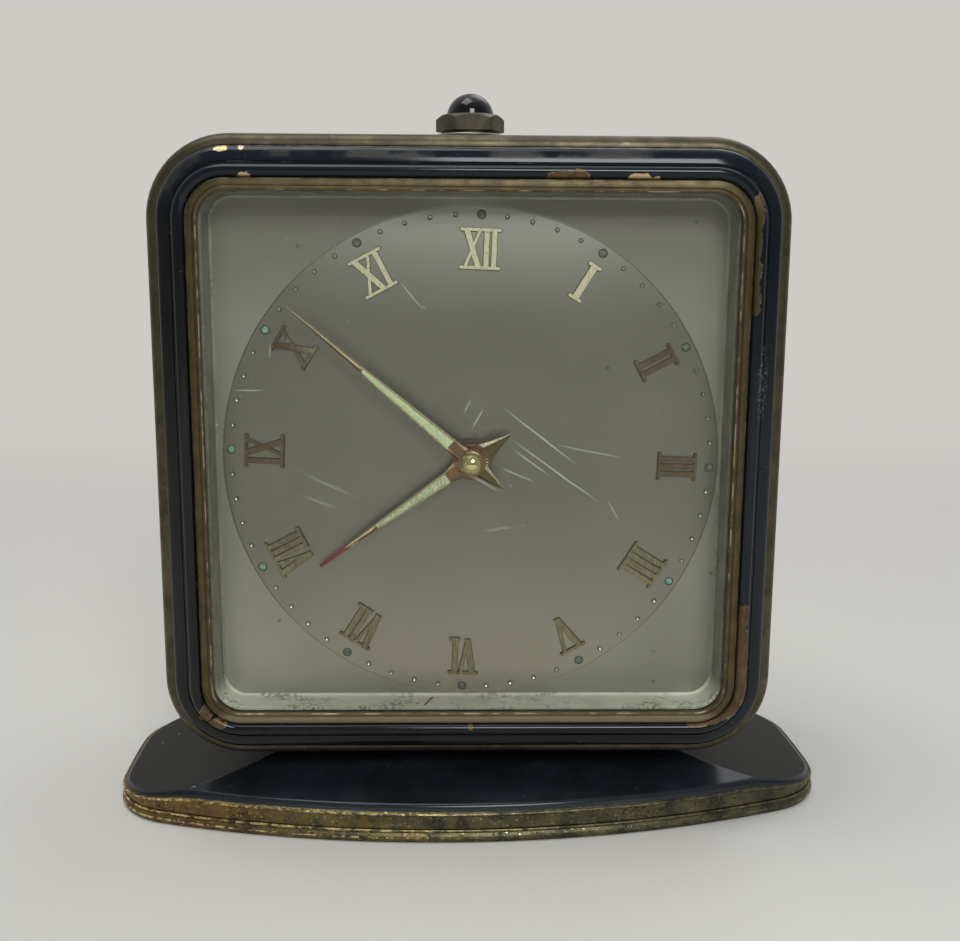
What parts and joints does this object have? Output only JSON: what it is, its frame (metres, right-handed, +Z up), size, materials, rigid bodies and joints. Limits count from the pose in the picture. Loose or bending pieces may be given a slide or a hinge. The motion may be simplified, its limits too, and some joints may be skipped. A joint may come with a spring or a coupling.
{
  "type": "alarm clock",
  "caption": "Square desk alarm clock in a lacquered metal case on a low swivel base, with domed glass, Roman dial, top button and rear winding keys.",
  "frame": {"origin": "on the case's swivel axis, at the underside of the base", "axes": "+Z up, the dial faces -Y, +X to the right of someone who reads the dial"},
  "size_m": [0.1111, 0.0589, 0.1075],
  "materials": {
    "lacquer": "gloss blue-black lacquer, worn to brass at its edges",
    "rim_bronze": "dull brown bronze, rubbed",
    "old_brass": "aged brass with brown tarnish",
    "polished_brass": "polished brass",
    "hand_bronze": "gilt with brown tarnish",
    "red_paint": "red paint on the tip of a gilt hand",
    "lume": "pale green luminous paint, matte",
    "gilt": "gilt applied numerals",
    "dial_silver": "satin silvered lacquer, brushed",
    "glass": "clear domed glass with fine scratches",
    "black_gloss": "gloss black",
    "pale_washer": "dull pale metal",
    "cover_brass": "satin brass sheet",
    "iron": "rough cast iron",
    "steel": "plain steel",
    "movement_brass": "machined brass"
  },
  "bodies": {
    "base": {"base_cover": "lacquer", "base_ring": "old_brass", "base_plate": "steel", "base_weight": "iron", "swivel_bolt": "steel", "swivel_nut": "steel", "swivel_collar": "rim_bronze"},
    "case": {"case_band": "lacquer", "case_rim": "rim_bronze", "bezel_moulding": "lacquer", "window_frame": "old_brass", "crystal": "glass", "dial_surround": "dial_silver", "dial_plate": "dial_silver", "hour_numerals": "gilt", "hour_dots": "lume", "corner_posts": "steel", "rear_cover": "cover_brass", "cover_screws": "steel", "hex_bushing": "rim_bronze", "button_washer": "pale_washer", "bushing_nut": "movement_brass", "button_spring": "steel", "front_plate": "movement_brass", "back_plate": "movement_brass", "plate_pillars": "steel", "hairspring": "steel", "strike_post": "steel"},
    "button": {"alarm_button": "black_gloss"},
    "minute": {"minute_hand": "polished_brass", "minute_lume": "lume", "hand_cap": "polished_brass", "centre_arbor": "steel", "time_knob": "polished_brass"},
    "hour": {"hour_hand": "hand_bronze", "hour_lume": "lume", "hour_wheel": "movement_brass"},
    "motion": {"minute_wheel": "movement_brass"},
    "alarm_setting": {"alarm_set_arbor": "steel", "alarm_set_knob": "polished_brass"},
    "alarm_pointer": {"alarm_hand": "red_paint", "alarm_wheel": "movement_brass"},
    "centre": {"centre_wheel": "movement_brass"},
    "second": {"second_wheel": "movement_brass"},
    "third": {"third_wheel": "movement_brass"},
    "fourth": {"fourth_wheel": "movement_brass"},
    "escape": {"escape_wheel": "movement_brass"},
    "pallets": {"pallet_lever": "steel"},
    "balance": {"balance_wheel": "movement_brass"},
    "regulator": {"regulator_lever": "steel"},
    "going_drum": {"going_barrel": "movement_brass"},
    "going_winder": {"going_arbor": "steel", "going_key": "polished_brass"},
    "going_catch": {"going_click": "steel"},
    "alarm_drum": {"alarm_barrel": "movement_brass"},
    "alarm_winder": {"alarm_arbor": "steel", "alarm_key": "polished_brass"},
    "alarm_catch": {"alarm_click": "steel"},
    "alarm_scape": {"alarm_escape": "movement_brass"},
    "striker": {"hammer": "steel"}
  },
  "joints": [
    {"name": "case_swivel", "type": "hinge", "parent": "base", "child": "case", "pos_m": [0, 0, 0.0105], "axis": [0, 0, 1], "continuous": true},
    {"name": "button_press", "type": "slide", "parent": "case", "child": "button", "axis": [0, 0, -1], "range_m": [0, 0.0012], "stiffness_N_per_m": 300, "springref_m": -0.002, "deforming": ["button_spring"]},
    {"name": "hands_set", "type": "hinge", "parent": "case", "child": "minute", "pos_m": [0.00028, 0.0035, 0.05555], "axis": [0, 1, 0], "continuous": true},
    {"name": "hour_turn", "type": "hinge", "parent": "case", "child": "hour", "pos_m": [0.00028, -0.0165, 0.05555], "axis": [0, 1, 0], "continuous": true},
    {"name": "motion_turn", "type": "hinge", "parent": "case", "child": "motion", "pos_m": [-0.00761, -0.0125, 0.05268], "axis": [0, 1, 0], "continuous": true},
    {"name": "alarm_set", "type": "hinge", "parent": "case", "child": "alarm_setting", "pos_m": [0.00028, 0.0035, 0.04295], "axis": [0, 1, 0], "continuous": true},
    {"name": "alarm_pointer_turn", "type": "hinge", "parent": "case", "child": "alarm_pointer", "pos_m": [0.00028, -0.0165, 0.05555], "axis": [0, 1, 0], "continuous": true},
    {"name": "fourth_turn", "type": "hinge", "parent": "case", "child": "fourth", "pos_m": [0.00307, -0.0015, 0.07372], "axis": [0, 1, 0], "continuous": true},
    {"name": "third_turn", "type": "hinge", "parent": "case", "child": "third", "pos_m": [-0.00349, -0.0015, 0.06591], "axis": [0, 1, 0], "continuous": true},
    {"name": "centre_turn", "type": "hinge", "parent": "case", "child": "centre", "pos_m": [0.00028, -0.0065, 0.05555], "axis": [0, 1, 0], "continuous": true},
    {"name": "second_turn", "type": "hinge", "parent": "case", "child": "second", "pos_m": [-0.01214, -0.0015, 0.05769], "axis": [0, 1, 0], "continuous": true},
    {"name": "going_drum_turn", "type": "hinge", "parent": "case", "child": "going_drum", "pos_m": [-0.01872, 0.0015, 0.04455], "axis": [0, 1, 0], "continuous": true},
    {"name": "escape_turn", "type": "hinge", "parent": "case", "child": "escape", "pos_m": [0.01252, -0.0015, 0.07372], "axis": [0, 1, 0], "continuous": true},
    {"name": "pallet_rock", "type": "hinge", "parent": "case", "child": "pallets", "pos_m": [0.01832, -0.0015, 0.07102], "axis": [0, 1, 0], "range_deg": [-3, 3]},
    {"name": "balance_swing", "type": "hinge", "parent": "case", "child": "balance", "pos_m": [0.02449, -0.0015, 0.06366], "axis": [0, 1, 0], "range_deg": [-135, 135]},
    {"name": "regulator_turn", "type": "hinge", "parent": "case", "child": "regulator", "pos_m": [0.02449, 0.0095, 0.06366], "axis": [0, 1, 0], "range_deg": [-20, 20]},
    {"name": "going_wind", "type": "hinge", "parent": "case", "child": "going_winder", "pos_m": [-0.01872, 0.0095, 0.04455], "axis": [0, 1, 0], "continuous": true},
    {"name": "going_catch_lift", "type": "hinge", "parent": "case", "child": "going_catch", "pos_m": [-0.02532, 0.01, 0.04975], "axis": [0, 1, 0], "range_deg": [-12, 0]},
    {"name": "alarm_drum_turn", "type": "hinge", "parent": "case", "child": "alarm_drum", "pos_m": [0.01928, 0.0015, 0.04455], "axis": [0, 1, 0], "continuous": true},
    {"name": "alarm_scape_turn", "type": "hinge", "parent": "case", "child": "alarm_scape", "pos_m": [0.00953, -0.0015, 0.03772], "axis": [0, 1, 0], "continuous": true},
    {"name": "alarm_wind", "type": "hinge", "parent": "case", "child": "alarm_winder", "pos_m": [0.01928, 0.0095, 0.04455], "axis": [0, 1, 0], "continuous": true},
    {"name": "alarm_catch_lift", "type": "hinge", "parent": "case", "child": "alarm_catch", "pos_m": [0.02588, 0.01, 0.04975], "axis": [0, 1, 0], "range_deg": [0, 12]},
    {"name": "hammer_swing", "type": "hinge", "parent": "case", "child": "striker", "pos_m": [0.00953, -0.0015, 0.03112], "axis": [0, 1, 0], "range_deg": [-3.5, 6]}
  ],
  "couplings": [
    {"joint": "hour_turn", "follows": "hands_set", "ratio": 0.083333},
    {"joint": "motion_turn", "follows": "hands_set", "ratio": -0.33333},
    {"joint": "alarm_pointer_turn", "follows": "alarm_set", "ratio": -0.5},
    {"joint": "third_turn", "follows": "fourth_turn", "ratio": -0.13333},
    {"joint": "centre_turn", "follows": "fourth_turn", "ratio": 0.016667},
    {"joint": "second_turn", "follows": "fourth_turn", "ratio": -0.0033333},
    {"joint": "going_drum_turn", "follows": "fourth_turn", "ratio": 0.00055556},
    {"joint": "escape_turn", "follows": "fourth_turn", "ratio": -8},
    {"joint": "alarm_scape_turn", "follows": "alarm_drum_turn", "ratio": -7.5}
  ]
}
